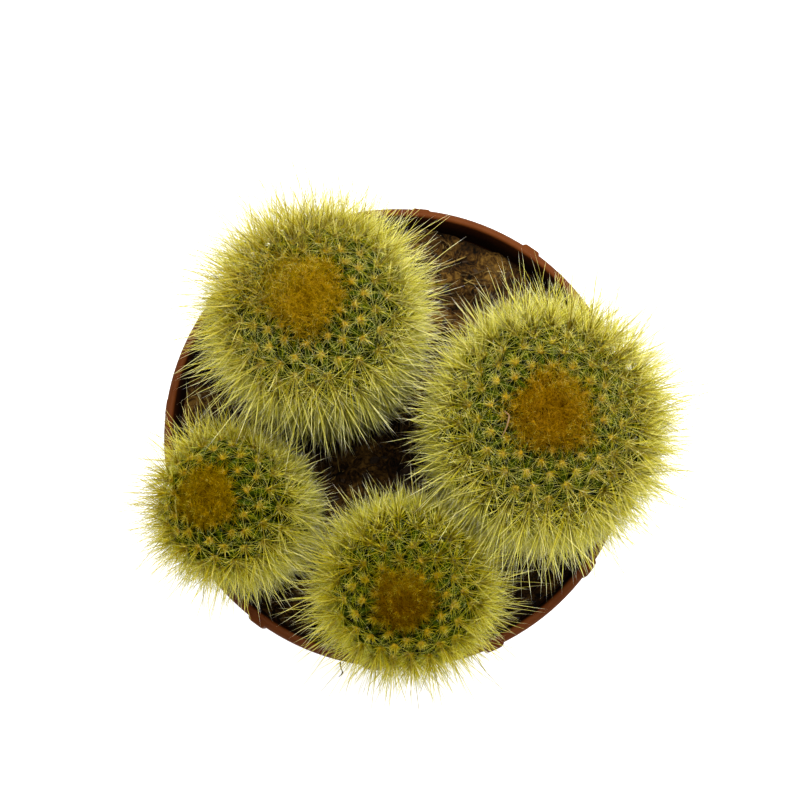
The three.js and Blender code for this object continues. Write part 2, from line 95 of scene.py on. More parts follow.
def apply_modifier(piece, kind, **settings):
    """Adds a modifier with its settings and applies it to the mesh."""
    activate(piece)
    modifier = piece.modifiers.new(kind.title(), kind)
    for name, value in settings.items():
        setattr(modifier, name, value)
    bpy.ops.object.modifier_apply(modifier=modifier.name)


def turned(name, profile, sides):
    """Draws a ring of edges out along a profile of (radius, height), and closes both its ends."""
    radius, height = profile[0]
    bpy.ops.object.select_all(action="DESELECT")
    bpy.ops.mesh.primitive_circle_add(vertices=sides, radius=radius, location=(0, 0, height))
    piece = bpy.context.object
    piece.name = name
    piece.data.name = name
    bpy.ops.object.transform_apply(location=True, rotation=True, scale=True)
    bpy.ops.object.mode_set(mode="EDIT")
    for next_radius, next_height in profile[1:]:
        rise = (0, 0, next_height - height)
        bpy.ops.mesh.extrude_region_move(TRANSFORM_OT_translate={"value": rise})
        ratio = next_radius / radius
        centre = (0, 0, next_height)
        bpy.ops.transform.resize(value=(ratio, ratio, 1), center_override=centre)
        radius, height = next_radius, next_height
    bpy.ops.mesh.select_all(action="SELECT")
    bpy.ops.mesh.fill_holes(sides=0)
    bpy.ops.mesh.normals_make_consistent(inside=False)
    bpy.ops.object.mode_set(mode="OBJECT")
    return piece


def ring_of(piece, count, first_angle, pushed_in):
    """Sets copies of a piece round the pot's axis, some pushed in, and joins them in one object."""
    copies = []
    for i in range(count):
        copy = piece.copy()
        copy.data = piece.data.copy()
        bpy.context.scene.collection.objects.link(copy)
        angle = first_angle + i * 2 * math.pi / count
        push = pushed_in.get(i, 0)
        copy.rotation_euler.z = angle
        copy.location = (-push * math.cos(angle), -push * math.sin(angle), 0)
        copies.append(copy)
    bpy.data.objects.remove(piece)
    activate(copies[0])
    for copy in copies:
        copy.select_set(True)
    bpy.ops.object.transform_apply(location=True, rotation=True, scale=True)
    bpy.ops.object.join()
    return copies[0]


def linear(colour):
    """The linear colour of an sRGB hex value."""
    channels = [int(colour[i:i + 2], 16) / 255 for i in (1, 3, 5)]
    return [c / 12.92 if c <= 0.04045 else ((c + 0.055) / 1.055) ** 2.4 for c in channels] + [1.0]


def new_material(name):
    """An empty node material, its tree and its shader."""
    material = bpy.data.materials.new(name)
    material.use_nodes = True
    return material, material.node_tree, material.node_tree.nodes["Principled BSDF"]


def add_node(tree, kind, sockets=None, **settings):
    """Adds a node: settings are its own values, and sockets its inputs' values or links."""
    node = tree.nodes.new(kind)
    for name, value in settings.items():
        setattr(node, name, value)
    for name, value in (sockets or {}).items():
        if isinstance(value, bpy.types.NodeSocket):
            tree.links.new(value, node.inputs[name])
        else:
            node.inputs[name].default_value = value
    return node


pot_profile = [
    (2 * MM, 0),
    (15 * MM, 0),
    (17.5 * MM, CHANNEL_RISE),
    (36 * MM, CHANNEL_RISE),
    (38.5 * MM, 0),
    (BASE_RADIUS - 0.8 * MM, 0),
    (BASE_RADIUS, 0.8 * MM),
    (BASE_RADIUS + 4.6 * MM, 28 * MM),
    (BASE_RADIUS + 9.1 * MM, 54 * MM),
    (56.2 * MM, COLLAR_LEVEL),
    (58.6 * MM, COLLAR_LEVEL + 1.2 * MM),
    (59.3 * MM, RIM_LEVEL - 5.0 * MM),
    (59.9 * MM, RIM_LEVEL - 1.6 * MM),
    (59.8 * MM, RIM_LEVEL - 1.1 * MM),
    (59.1 * MM, RIM_LEVEL - 0.2 * MM),
    (58.7 * MM, RIM_LEVEL),
    (58.1 * MM, RIM_LEVEL - 0.05 * MM),
    (57.7 * MM, RIM_LEVEL - 0.35 * MM),
    (57.5 * MM, RIM_LEVEL - 0.9 * MM),
    (COLLAR_INNER_RADIUS, COLLAR_LEVEL + 1.2 * MM),
    (WALL_TOP_INNER_RADIUS, COLLAR_LEVEL - 1.2 * MM),
    (BASE_RADIUS - WALL + 0.3 * MM, FLOOR),
    (38.9 * MM, FLOOR),
    (36.4 * MM, CHANNEL_RISE + FLOOR),
    (17.1 * MM, CHANNEL_RISE + FLOOR),
    (14.6 * MM, FLOOR),
    (2 * MM, FLOOR),
]
pot = turned("pot_shell", pot_profile, SIDES)

# Each lug is a block with its outer corners rounded, which runs up to the rim's top edge. Two of
# them are worn, one by half and one nearly flat.
lug_root = LUG_RADIUS - LUG_DEPTH
lug_middle = ((LUG_RADIUS + lug_root) / 2, 0, RIM_LEVEL - LUG_FOOT / 2 - LUG_DROP)
bpy.ops.object.select_all(action="DESELECT")
bpy.ops.mesh.primitive_cube_add(size=1, location=lug_middle)
lug = bpy.context.object
lug.scale = (LUG_RADIUS - lug_root, LUG_LENGTH, LUG_FOOT)
bpy.ops.object.transform_apply(location=True, rotation=True, scale=True)
bpy.ops.object.mode_set(mode="EDIT")
bpy.ops.mesh.select_all(action="DESELECT")
bpy.ops.object.mode_set(mode="OBJECT")
for edge in lug.data.edges:
    start, end = (lug.data.vertices[v].co for v in edge.vertices)
    edge.select = abs(start.z - end.z) > LUG_FOOT / 2 and start.x > lug_middle[0]
bpy.ops.object.mode_set(mode="EDIT")
bpy.ops.mesh.select_mode(type="EDGE")
bpy.ops.mesh.bevel(offset=LUG_CORNER, segments=4, affect="EDGES")
bpy.ops.mesh.select_mode(type="VERT")
bpy.ops.object.mode_set(mode="OBJECT")
apply_modifier(lug, "BEVEL", width=0.4 * MM, segments=2, limit_method="ANGLE", angle_limit=math.radians(60))
lugs = ring_of(lug, LUG_COUNT, LUG_FIRST, WORN_LUGS)
apply_modifier(pot, "BOOLEAN", object=lugs, operation="UNION", solver="EXACT")
bpy.data.objects.remove(lugs)

# The drain holes are drilled through the raised channel of the floor.
bpy.ops.object.select_all(action="DESELECT")
bpy.ops.mesh.primitive_cylinder_add(
    vertices=24, radius=DRAIN_RADIUS, depth=8 * MM, location=(DRAIN_CIRCLE, 0, 3 * MM),
)
bpy.ops.object.transform_apply(location=True, rotation=True, scale=True)
drills = ring_of(bpy.context.object, DRAIN_COUNT, math.pi / DRAIN_COUNT, {})
apply_modifier(pot, "BOOLEAN", object=drills, operation="DIFFERENCE", solver="EXACT")
bpy.data.objects.remove(drills)
apply_modifier(pot, "BEVEL", width=0.2 * MM, segments=2, limit_method="ANGLE", angle_limit=math.radians(35))
activate(pot)
bpy.ops.object.shade_smooth_by_angle(angle=math.radians(40))

# Polypropylene, moulded with a fine satin grain. The eye gets a warm matt brown, a little darker where
# water has stained it. The inner wall of the collar carries painted shade, nearly black, darkest lowest.
material, tree, shader = new_material("terracotta_polypropylene")
place = add_node(tree, "ShaderNodeTexCoord").outputs["Object"]
stains = add_node(tree, "ShaderNodeTexNoise", {"Vector": place, "Scale": 60, "Detail": 6, "Roughness": 0.65})
stain_amount = add_node(tree, "ShaderNodeMapRange", {
    "Value": stains.outputs["Fac"], "From Min": 0.42, "From Max": 0.75,
})
colour = add_node(tree, "ShaderNodeMix", {
    "Factor": stain_amount.outputs["Result"], "A": linear("#653919"), "B": linear("#562c12"),
}, data_type="RGBA")
flat = add_node(tree, "ShaderNodeVectorMath", {0: place, 1: (1, 1, 0)}, operation="MULTIPLY")
reach = add_node(tree, "ShaderNodeVectorMath", {0: flat.outputs["Vector"]}, operation="LENGTH")
# Painted shade: this masks the inner wall of the collar above its step, darker the deeper it lies.
inside = add_node(tree, "ShaderNodeMapRange", {
    "Value": reach.outputs["Value"], "From Min": 57.8 * MM, "From Max": 57.5 * MM,
})
level = add_node(tree, "ShaderNodeSeparateXYZ", {"Vector": place})
depth = add_node(tree, "ShaderNodeMapRange", {
    "Value": level.outputs["Z"], "From Min": RIM_LEVEL - 0.5 * MM, "From Max": RIM_LEVEL - 5.5 * MM,
    "To Min": 0.55,
})
above_step = add_node(tree, "ShaderNodeMapRange", {
    "Value": level.outputs["Z"], "From Min": COLLAR_LEVEL + 1.4 * MM, "From Max": COLLAR_LEVEL + 2.4 * MM,
})
in_collar = add_node(tree, "ShaderNodeMath", {
    0: inside.outputs["Result"], 1: above_step.outputs["Result"],
}, operation="MULTIPLY")
# The painted shade of the inner wall, which mixes its brown towards near black.
painted_inner_shade = add_node(tree, "ShaderNodeMath", {
    0: in_collar.outputs["Value"], 1: depth.outputs["Result"],
}, operation="MULTIPLY")
inner_shaded_colour = add_node(tree, "ShaderNodeMix", {
    "Factor": painted_inner_shade.outputs["Value"], "A": colour.outputs["Result"], "B": linear("#1e0c05"),
}, data_type="RGBA")
tree.links.new(inner_shaded_colour.outputs["Result"], shader.inputs["Base Color"])
shader.inputs["Roughness"].default_value = 0.6
shader.inputs["Specular IOR Level"].default_value = 0.08
grain = add_node(tree, "ShaderNodeTexNoise", {"Vector": place, "Scale": 1 / (0.5 * MM), "Detail": 2})
bump = add_node(tree, "ShaderNodeBump", {
    "Height": grain.outputs["Fac"], "Strength": 0.12, "Distance": 0.1 * MM,
})
tree.links.new(bump.outputs["Normal"], shader.inputs["Normal"])
pot.data.materials.append(material)
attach(pot, "root")
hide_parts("pot")

# Stems, their places
# Four stems of a golden-spined cactus, each a short ribbed column on its own foot in the soil.
# They are worked out first, because the soil lies round their feet and their spines keep clear
# of each other.
SOIL_LEVEL = 85 * MM
UPRIGHT_SHARE = 0.45
FOOT_SWELL = 0.74
SWELL_POWER = 0.8
DOME = 0.85
RIB_DEPTH = 1.7 * MM
ROOT_DEPTH = 12 * MM
ROOT_NARROWING = 0.46
CROWN_SINK = 0.05
# Lengths are in millimetres, and longest is that of the longest spines. Shade is painted shade: it
# darkens the crown and the spines, most on the two low stems at the front. Gold turns the crown
# from brown to yellow, and net thins the flat bristles. Early is the heading in degrees of the side
# on which spines are grown sooner below the crown, by how many millimetres sooner there, and by how
# many all round.
STEMS = {
    "stem_back_left": {
        "base": (-15.4, 18.1), "apex": (-20.5, 17.9, 156), "radius": 20.8, "crown": 8.2,
        "ribs": 28, "longest": 19.5, "seed": 3, "shade": 1.0, "gold": 0.6, "net": 1.0,
        "early": (130, 8, 0),
    },
    "stem_right": {
        "base": (33.4, -6.1), "apex": (33.3, -9.0, 158), "radius": 23.8, "crown": 8.2,
        "ribs": 30, "longest": 19.5, "seed": 5, "shade": 0.95, "gold": 0.0, "net": 1.0,
        "early": (20, 2.5, 0),
    },
    "stem_front_left": {
        "base": (-33.8, -22.8), "apex": (-43.2, -24.0, 136), "radius": 15.0, "crown": 6.6,
        "ribs": 22, "longest": 15.5, "seed": 7, "shade": 0.75, "gold": 0.7, "net": 0.8,
        "early": (180, 3.5, 2),
    },
    "stem_front": {
        "base": (3.2, -36.9), "apex": (1.3, -47.6, 142), "radius": 17.0, "crown": 6.2,
        "ribs": 24, "longest": 16.0, "seed": 9, "shade": 0.62, "gold": -0.3, "net": 0.8,
        "early": (90, 4.5, 0.5),
    },
}


def unit(vectors):
    """Vectors at length 1."""
    return vectors / np.linalg.norm(vectors, axis=-1, keepdims=True)


def plan_stem(stem):
    """Adds a stem's axis as a table of points and directions, and the lengths over its skin."""
    foot = np.array([*stem["base"], SOIL_LEVEL / MM]) * MM
    apex = np.array(stem["apex"]) * MM
    corner = foot + [0, 0, (apex[2] - foot[2]) * UPRIGHT_SHARE]
    t = np.linspace(0, 1, 400)[:, None]
    axis = (1 - t) ** 2 * foot + 2 * (1 - t) * t * corner + t ** 2 * apex
    along = unit((1 - t) * (corner - foot) + t * (apex - corner))
    steps = np.linalg.norm(np.diff(axis, axis=0), axis=1)
    lean = unit((apex - foot) * [1, 1, 0])
    stem["axis"] = axis
    stem["along"] = along
    stem["heights"] = np.concatenate([[0], np.cumsum(steps)])
    stem["side"] = np.cross([0, 0, 1], lean)
    stem["radius"] *= MM
    stem["crown"] *= MM
    stem["longest"] *= MM
    stem["shoulder"] = stem["heights"][-1] - DOME * stem["radius"]
    stem["dome"] = stem["radius"] * (1 + DOME) / 2
    stem["crown_start"] = stem["shoulder"] + stem["dome"] * math.acos(stem["crown"] / stem["radius"])
    stem["crown_end"] = stem["shoulder"] + stem["dome"] * math.pi / 2


def skin(stem, over, turn, depth=0.0):
    """Points on a stem's skin at distances over it, and the directions outward, down and across."""
    over, turn, depth = np.broadcast_arrays(over, turn, depth)
    share = np.sin(np.clip(over / stem["shoulder"], 0, 1) * math.pi / 2)
    angle = np.clip((over - stem["shoulder"]) / stem["dome"], 0, math.pi / 2)
    column = stem["radius"] * (FOOT_SWELL + (1 - FOOT_SWELL) * share ** SWELL_POWER)
    root = 1 - ROOT_NARROWING * np.clip(-over / ROOT_DEPTH, 0, 1)
    radius = np.where(over < stem["shoulder"], column * root, stem["radius"] * np.cos(angle))
    height = np.where(over < stem["shoulder"], over, stem["shoulder"] + DOME * stem["radius"] * np.sin(angle))
    rise = np.arctan2(np.sin(angle), DOME * np.cos(angle))
    centre = np.stack([np.interp(height, stem["heights"], stem["axis"][:, k]) for k in range(3)], -1)
    centre[..., 2] += np.minimum(height, 0)
    along = unit(np.stack([np.interp(height, stem["heights"], stem["along"][:, k]) for k in range(3)], -1))
    out = np.cross(stem["side"], along)
    turn = turn[..., None] * 2 * math.pi
    radial = out * np.cos(turn) + stem["side"] * np.sin(turn)
    rise = rise[..., None]
    outward = radial * np.cos(rise) + along * np.sin(rise)
    down = radial * np.sin(rise) - along * np.cos(rise)
    points = centre + radial * (radius - depth)[..., None]
    return points, outward, down, np.cross(outward, down)


# A row of balls fills each stem, from side to side of its skin, to tell later what lies in it.
BALL_SPACING = 2 * MM
for stem in STEMS.values():
    plan_stem(stem)
    levels = np.arange(0, stem["crown_start"], BALL_SPACING)
    rims = skin(stem, levels, 0.0)[0]
    backs = skin(stem, levels, 0.5)[0]
    stem["ball_centres"] = (rims + backs) / 2
    stem["ball_radii"] = np.linalg.norm(rims - backs, axis=1) / 2

# Soil
# Moist potting mix of dark peat, coir fibre and bark, filled to a few millimetres under the
# rim. Its top is crumbly, and each stem's foot stands in a plain hole in it.
SOIL_SIDES = 240
SOIL_RINGS = 80
SOIL_EDGE = 56.7 * MM
SOIL_GAP = 0.3 * MM
HOLE_GAP = 0.4 * MM
# Sizes of its rough top, in millimetres: width and height of the mounds and of the crumbs, then
# where the soil starts to fall beside the wall, how much that wanders, and over what width it
# falls how deep.
MOUND_WIDTH, MOUND_HEIGHT = 8.0, 2.4
CRUMB_WIDTH, CRUMB_HEIGHT = 3.4, 1.8
FALL_START, FALL_WANDER = 54.6, 5.0
FALL_WIDTH, FALL_DEPTH = 3.5, 6.5


def crumbs(x, y):
    """Height of the crumbly top of the soil over its level. It stays above the collar's step."""
    point = Vector((x, y, 0.3)) / MM
    height = MOUND_HEIGHT * noise.fractal(point / MOUND_WIDTH, 0.9, 2.1, 3) - MOUND_HEIGHT / 2
    height += CRUMB_HEIGHT * abs(noise.fractal(point / CRUMB_WIDTH, 0.8, 2.0, 4))
    start = FALL_START + FALL_WANDER * noise.noise(point / 15)
    fall = min(max((math.hypot(x, y) / MM - start) / FALL_WIDTH, 0), 1)
    lowest = COLLAR_LEVEL + 1.5 * MM - SOIL_LEVEL
    return max((height - FALL_DEPTH * fall * fall * (3 - 2 * fall)) * MM, lowest)


soil_profile = [
    (2 * MM, FLOOR + SOIL_GAP),
    (14.3 * MM, FLOOR + SOIL_GAP),
    (16.8 * MM, 2.8 * MM + FLOOR),
    (36.7 * MM, 2.8 * MM + FLOOR),
    (39.2 * MM, FLOOR + SOIL_GAP),
    (BASE_RADIUS - WALL, FLOOR + SOIL_GAP),
    (WALL_TOP_INNER_RADIUS - SOIL_GAP, COLLAR_LEVEL - 1.2 * MM),
    (COLLAR_INNER_RADIUS - SOIL_GAP, COLLAR_LEVEL + 1.2 * MM),
]
soil_profile += [(SOIL_EDGE * (1 - i / SOIL_RINGS), SOIL_LEVEL) for i in range(SOIL_RINGS)]
soil = turned("soil_bed", soil_profile, SOIL_SIDES)
for vertex in soil.data.vertices:
    x, y, z = vertex.co
    if z < SOIL_LEVEL - 0.1 * MM:
        continue
    vertex.co.z += crumbs(x, y)
    for stem in STEMS.values():
        foot = stem["radius"] * FOOT_SWELL
        from_foot = math.hypot(x - stem["axis"][0][0], y - stem["axis"][0][1])
        if from_foot < foot + HOLE_GAP:
            vertex.co.z = SOIL_LEVEL - ROOT_DEPTH - SOIL_GAP
soil.data.update()
activate(soil)
bpy.ops.object.shade_smooth()

# Peat and fine coir. The eye gets a dull, almost black brown, with drier fibres and crumbs that
# are lighter, and no shine.
material, tree, shader = new_material("moist_potting_mix")
place = add_node(tree, "ShaderNodeTexCoord").outputs["Object"]
damp = add_node(tree, "ShaderNodeTexNoise", {
    "Vector": place, "Scale": 1 / (11 * MM), "Detail": 5, "Roughness": 0.6,
})
fibre = add_node(tree, "ShaderNodeTexNoise", {
    "Vector": place, "Scale": 1 / (3.2 * MM), "Detail": 6, "Roughness": 0.65, "Distortion": 2.5,
})
mixed = add_node(tree, "ShaderNodeMath", {
    0: fibre.outputs["Fac"], 1: damp.outputs["Fac"],
}, operation="MULTIPLY")
colour = add_node(tree, "ShaderNodeValToRGB", {"Fac": mixed.outputs["Value"]})
ramp = colour.color_ramp
ramp.elements[0].position = 0.18
ramp.elements[0].color = linear("#100a04")
ramp.elements[1].position = 0.4
ramp.elements[1].color = linear("#7a5e2c")
ramp.elements.new(0.25).color = linear("#3c280e")
tree.links.new(colour.outputs["Color"], shader.inputs["Base Color"])
shader.inputs["Roughness"].default_value = 0.95
shader.inputs["Specular IOR Level"].default_value = 0.15
bump = add_node(tree, "ShaderNodeBump", {
    "Height": fibre.outputs["Fac"], "Strength": 1.0, "Distance": 0.8 * MM,
})
tree.links.new(bump.outputs["Normal"], shader.inputs["Normal"])
soil.data.materials.append(material)
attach(soil, "root")
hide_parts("soil")

# Coir
# Dry fibres of coconut husk, most of them in tufts as they were torn from it, a tenth to three
# quarters of a millimetre thick, which lie tangled in the top of the mix.


def shape_of(model):
    """The corners and the faces of a model, which is taken away."""
    corners = np.array([v.co for v in model.data.vertices])
    faces = np.array([f.vertices for f in model.data.polygons])
    bpy.data.objects.remove(model)
    return corners, faces


def needle_model(name, rings, tip=0.0, sides=3):
    """One needle up the Z axis, 1 long and 1 in root radius: (height, radius) for each ring."""
    bpy.ops.object.select_all(action="DESELECT")
    bpy.ops.mesh.primitive_circle_add(vertices=sides, radius=1, fill_type="NGON")
    model = bpy.context.object
    model.name = name
    bpy.ops.object.mode_set(mode="EDIT")
    height, radius = 0.0, 1.0
    for next_height, next_radius in rings:
        rise = (0, 0, next_height - height)
        bpy.ops.mesh.extrude_region_move(TRANSFORM_OT_translate={"value": rise})
        ratio = next_radius / radius
        bpy.ops.transform.resize(value=(ratio, ratio, 1), center_override=(0, 0, next_height))
        height, radius = next_height, next_radius
    bpy.ops.mesh.extrude_region_move(TRANSFORM_OT_translate={"value": (0, 0, 1 - height)})
    if tip:
        bpy.ops.transform.resize(value=(tip / radius, tip / radius, 1), center_override=(0, 0, 1))
    else:
        bpy.ops.mesh.merge(type="COLLAPSE")
    bpy.ops.mesh.select_all(action="SELECT")
    bpy.ops.mesh.quads_convert_to_tris()
    bpy.ops.mesh.normals_make_consistent(inside=False)
    bpy.ops.object.mode_set(mode="OBJECT")
    return shape_of(model)


def mesh_of(name, corners, faces, attributes):
    """A mesh object from arrays of corners and triangles, with a value at each corner."""
    mesh = bpy.data.meshes.new(name)
    mesh.from_pydata(corners, [], faces)
    for attribute, values in attributes.items():
        layer = mesh.attributes.new(attribute, "FLOAT", "POINT")
        layer.data.foreach_set("value", np.ascontiguousarray(values, dtype=np.float32))
    mesh.update()
    mesh.shade_smooth()
    piece = bpy.data.objects.new(name, mesh)
    bpy.context.scene.collection.objects.link(piece)
    return piece


def across(directions, rng):
    """Two directions square to each given one and to each other, at a random turn."""
    other = rng.normal(size=directions.shape)
    first = unit(np.cross(directions, other))
    return first, np.cross(directions, first)


def planted(name, model, roots, directions, bends, lengths, widths, rng, **attributes):
    """Copies a needle to each root, drawn out to its length and bent sideways towards its tip."""
    corners, faces = model
    first, second = across(directions, rng)
    height = corners[None, :, 2:3]
    line = directions[:, None] * height + bends[:, None] * height ** 2
    section = first[:, None] * corners[None, :, 0:1] + second[:, None] * corners[None, :, 1:2]
    placed = roots[:, None] + line * lengths[:, None, None] + section * (widths / 2)[:, None, None]
    offsets = np.arange(len(roots))[:, None, None] * len(corners)
    values = {key: np.repeat(value, len(corners)) for key, value in attributes.items()}
    values["to_tip"] = np.tile(corners[:, 2], len(roots))
    return mesh_of(name, placed.reshape(-1, 3), (faces[None] + offsets).reshape(-1, 3), values)


def soil_places(rng, count, widest):
    """Random places on the open soil, off the stems' feet."""
    places = []
    while len(places) < count:
        reach = widest * math.sqrt(rng.random())
        angle = rng.random() * 2 * math.pi
        x, y = reach * math.cos(angle), reach * math.sin(angle)
        feet = [(stem["axis"][0], stem["radius"] * FOOT_SWELL) for stem in STEMS.values()]
        if all(math.hypot(x - at[0], y - at[1]) > foot + 1 * MM for at, foot in feet):
            places.append((x, y, SOIL_LEVEL + crumbs(x, y)))
    return np.array(places)


TUFTS = 190
FIBRES_PER_TUFT = 10
FIBRE_AREA_RADIUS = 52 * MM
BY_THE_WALL = 55 * MM
rng = np.random.default_rng(21)
fibre_count = TUFTS * FIBRES_PER_TUFT
fibre_model = needle_model("fibre", [(0.3, 1.0), (0.6, 0.85), (0.85, 0.6)])
roots = np.repeat(soil_places(rng, TUFTS, FIBRE_AREA_RADIUS), FIBRES_PER_TUFT, axis=0)
roots += rng.normal(0, 1, (fibre_count, 3)) * [0.9 * MM, 0.9 * MM, 0.25 * MM]
heading = np.repeat(rng.random(TUFTS) * 2 * math.pi, FIBRES_PER_TUFT) + rng.normal(0, 0.45, fibre_count)
climb = rng.normal(0.1, 0.16, fibre_count)
directions = unit(np.stack([np.cos(heading), np.sin(heading), climb], -1))
bends = np.stack([-np.sin(heading), np.cos(heading), np.zeros(fibre_count)], -1)
bends *= rng.normal(0, 0.35, fibre_count)[:, None]
bends[:, 2] -= climb * 1.1
lengths = rng.uniform(2, 9, fibre_count) * MM
reach = np.hypot(*(roots + (directions + bends) * lengths[:, None])[:, :2].T)
lengths *= np.where(reach > BY_THE_WALL, 0.3, 1.0)
fibres = planted(
    "coir_fibres", fibre_model, roots, directions, bends, lengths,
    rng.uniform(0.1, 0.75, fibre_count) ** 1.5 * MM, rng, tint=rng.random(fibre_count),
)

# One curled fibre has been caught on the outside of the rim, at the front.
stray = planted(
    "stray_fibre", fibre_model,
    np.array([(-14.2, -58.6, 91.6), (-13.6, -60.9, 91.0)]) * MM,
    unit(np.array([(-0.1, -1.0, 0.1), (0.1, -0.5, -0.4)])),
    np.array([(0.4, -0.1, -0.4), (-0.9, -0.1, -0.2)]),
    np.array([2.3, 1.6]) * MM, np.array([0.5, 0.5]) * MM, rng, tint=np.array([0.7, 0.6]),
)

# Coconut husk fibre, dry at the top. The eye gets thin brown threads, some bleached to straw.
material, tree, shader = new_material("coir_fibre")
tint = add_node(tree, "ShaderNodeAttribute", attribute_name="tint")
colour = add_node(tree, "ShaderNodeValToRGB", {"Fac": tint.outputs["Fac"]})
ramp = colour.color_ramp
ramp.elements[0].color = linear("#261a06")
ramp.elements[1].color = linear("#8e783e")
ramp.elements.new(0.6).color = linear("#584216")
tree.links.new(colour.outputs["Color"], shader.inputs["Base Color"])
shader.inputs["Roughness"].default_value = 0.8
for piece in (fibres, stray):
    piece.data.materials.append(material)
    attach(piece, "root")

# Bark chips
# Flat flakes of composted bark and husk in the mix, nearly all of them dark. A few bleached ones
# lie together at the left.
CHIP_COUNT = 260
CHIP_AREA_RADIUS = 53 * MM
CHIP_SHAPE = [1.0, 0.62, 0.3]
BLEACHED_PLACE = (-49 * MM, 11 * MM)
BLEACHED_REACH = 11 * MM


def lumps(name, corners, faces, middles, directions, sizes, **attributes):
    """Sets a lump with its own corners at each middle, in its three sizes along three directions."""
    placed = middles[:, None] + sum(
        direction[:, None] * corners[:, :, k:k + 1] * sizes[:, None, k:k + 1]
        for k, direction in enumerate(directions)
    )
    per_lump = corners.shape[1]
    offsets = np.arange(len(middles))[:, None, None] * per_lump
    values = {key: np.repeat(value, per_lump) for key, value in attributes.items()}
    return mesh_of(name, placed.reshape(-1, 3), (faces[None] + offsets).reshape(-1, 3), values)


bpy.ops.object.select_all(action="DESELECT")
bpy.ops.mesh.primitive_cube_add(size=1)
chip = bpy.context.object
bpy.ops.object.mode_set(mode="EDIT")
bpy.ops.mesh.bevel(offset=0.22, segments=1, affect="EDGES")
bpy.ops.mesh.quads_convert_to_tris()
bpy.ops.object.mode_set(mode="OBJECT")
chip_corners, chip_faces = shape_of(chip)
rng = np.random.default_rng(22)
middles = soil_places(rng, CHIP_COUNT, CHIP_AREA_RADIUS)
sizes = rng.uniform(0.7, 3.0, (CHIP_COUNT, 1)) * CHIP_SHAPE
sizes = sizes * rng.uniform(0.7, 1.2, (CHIP_COUNT, 3)) * MM
normals = unit(np.array([0, 0, 1]) + rng.normal(0, 0.35, (CHIP_COUNT, 3)))
first, second = across(normals, rng)
ragged = chip_corners[None] + rng.normal(0, 0.09, (CHIP_COUNT, *chip_corners.shape))
from_bleached = np.hypot(middles[:, 0] - BLEACHED_PLACE[0], middles[:, 1] - BLEACHED_PLACE[1])
bleached = np.clip(1.3 - from_bleached / BLEACHED_REACH, 0, 0.8)
chip_tint = np.clip(0.3 * rng.random(CHIP_COUNT) + bleached * rng.random(CHIP_COUNT), 0, 1)
chips = lumps(
    "bark_chips", ragged, chip_faces, middles, (first, second, normals), sizes, tint=chip_tint,
)
activate(chips)
bpy.ops.object.shade_flat()

# Bark, weathered. The eye gets small matt flakes, brown to grey-beige.
material, tree, shader = new_material("composted_bark")
tint = add_node(tree, "ShaderNodeAttribute", attribute_name="tint")
place = add_node(tree, "ShaderNodeTexCoord").outputs["Object"]
fleck = add_node(tree, "ShaderNodeTexNoise", {"Vector": place, "Scale": 1 / (0.8 * MM), "Detail": 4})
colour = add_node(tree, "ShaderNodeValToRGB", {"Fac": tint.outputs["Fac"]})
ramp = colour.color_ramp
ramp.elements[0].color = linear("#1e1206")
ramp.elements[1].color = linear("#b4a67a")
ramp.elements.new(0.35).color = linear("#563e1e")
shade = add_node(tree, "ShaderNodeMix", {
    "Factor": fleck.outputs["Fac"], "A": colour.outputs["Color"], "B": linear("#1e1206"),
}, data_type="RGBA")
tree.links.new(shade.outputs["Result"], shader.inputs["Base Color"])
shader.inputs["Roughness"].default_value = 0.9
chips.data.materials.append(material)
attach(chips, "root")

# Stem bodies
# The green flesh of each stem, one piece with its low upright ribs, a little swollen under each
# areole, and sunk at the crown. It is grown, not made: its waxy skin is dark green and dull.
COLUMNS_PER_RIB = 6
BODY_ROW = 1.5 * MM
AREOLE_SPACING = 5.4 * MM
AREOLE_SWELLING = 0.3 * MM


def stem_body(name, stem):
    """The ribbed body, wrapped from a flat grid round the stem's axis."""
    columns = stem["ribs"] * COLUMNS_PER_RIB
    rows_up = math.ceil((stem["crown_end"] + 1 * MM) / BODY_ROW)
    over = np.concatenate([[-ROOT_DEPTH, -5 * MM], np.linspace(-1 * MM, stem["crown_end"], rows_up)])
    bpy.ops.object.select_all(action="DESELECT")
    bpy.ops.mesh.primitive_grid_add(x_subdivisions=columns, y_subdivisions=len(over) - 1, size=1)
    body = bpy.context.object
    body.name = name
    body.data.name = name
    grid = np.array([v.co for v in body.data.vertices])
    turn = np.round((grid[:, 0] + 0.5) * columns) / columns % 1
    level = over[np.round((grid[:, 1] + 0.5) * (len(over) - 1)).astype(int)]
    groove = 0.5 - 0.5 * np.cos(turn * stem["ribs"] * 2 * math.pi)
    narrowing = np.clip((stem["crown_end"] - level) / (stem["crown_end"] - stem["crown_start"]) - 0.7, 0, 1)
    fade = np.clip(level / (4 * MM), 0, 1) * np.clip(narrowing * 2, 0, 1)
    down = stem["crown_start"] - level
    swelling = np.cos(2 * math.pi * (down / AREOLE_SPACING + turn * stem["ribs"] / 2))
    depth = fade * (RIB_DEPTH * groove ** 1.3 - AREOLE_SWELLING * swelling * (1 - groove))
    points, outward, _, _ = skin(stem, level, turn, depth)
    in_crown = np.clip((level - stem["crown_start"]) / (stem["crown_end"] - stem["crown_start"]), 0, 1)
    points -= outward * (CROWN_SINK * stem["radius"] * in_crown ** 2)[:, None]
    body.data.vertices.foreach_set("co", points.ravel())
    for key, values in (("groove", groove * fade), ("in_crown", in_crown)):
        layer = body.data.attributes.new(key, "FLOAT", "POINT")
        layer.data.foreach_set("value", values.astype(np.float32))
    bpy.ops.object.mode_set(mode="EDIT")
    bpy.ops.mesh.select_all(action="SELECT")
    bpy.ops.mesh.remove_doubles(threshold=0.01 * MM)
    bpy.ops.mesh.fill_holes(sides=0)
    bpy.ops.mesh.normals_make_consistent(inside=False)
    bpy.ops.object.mode_set(mode="OBJECT")
    bpy.ops.object.shade_smooth()
    return body
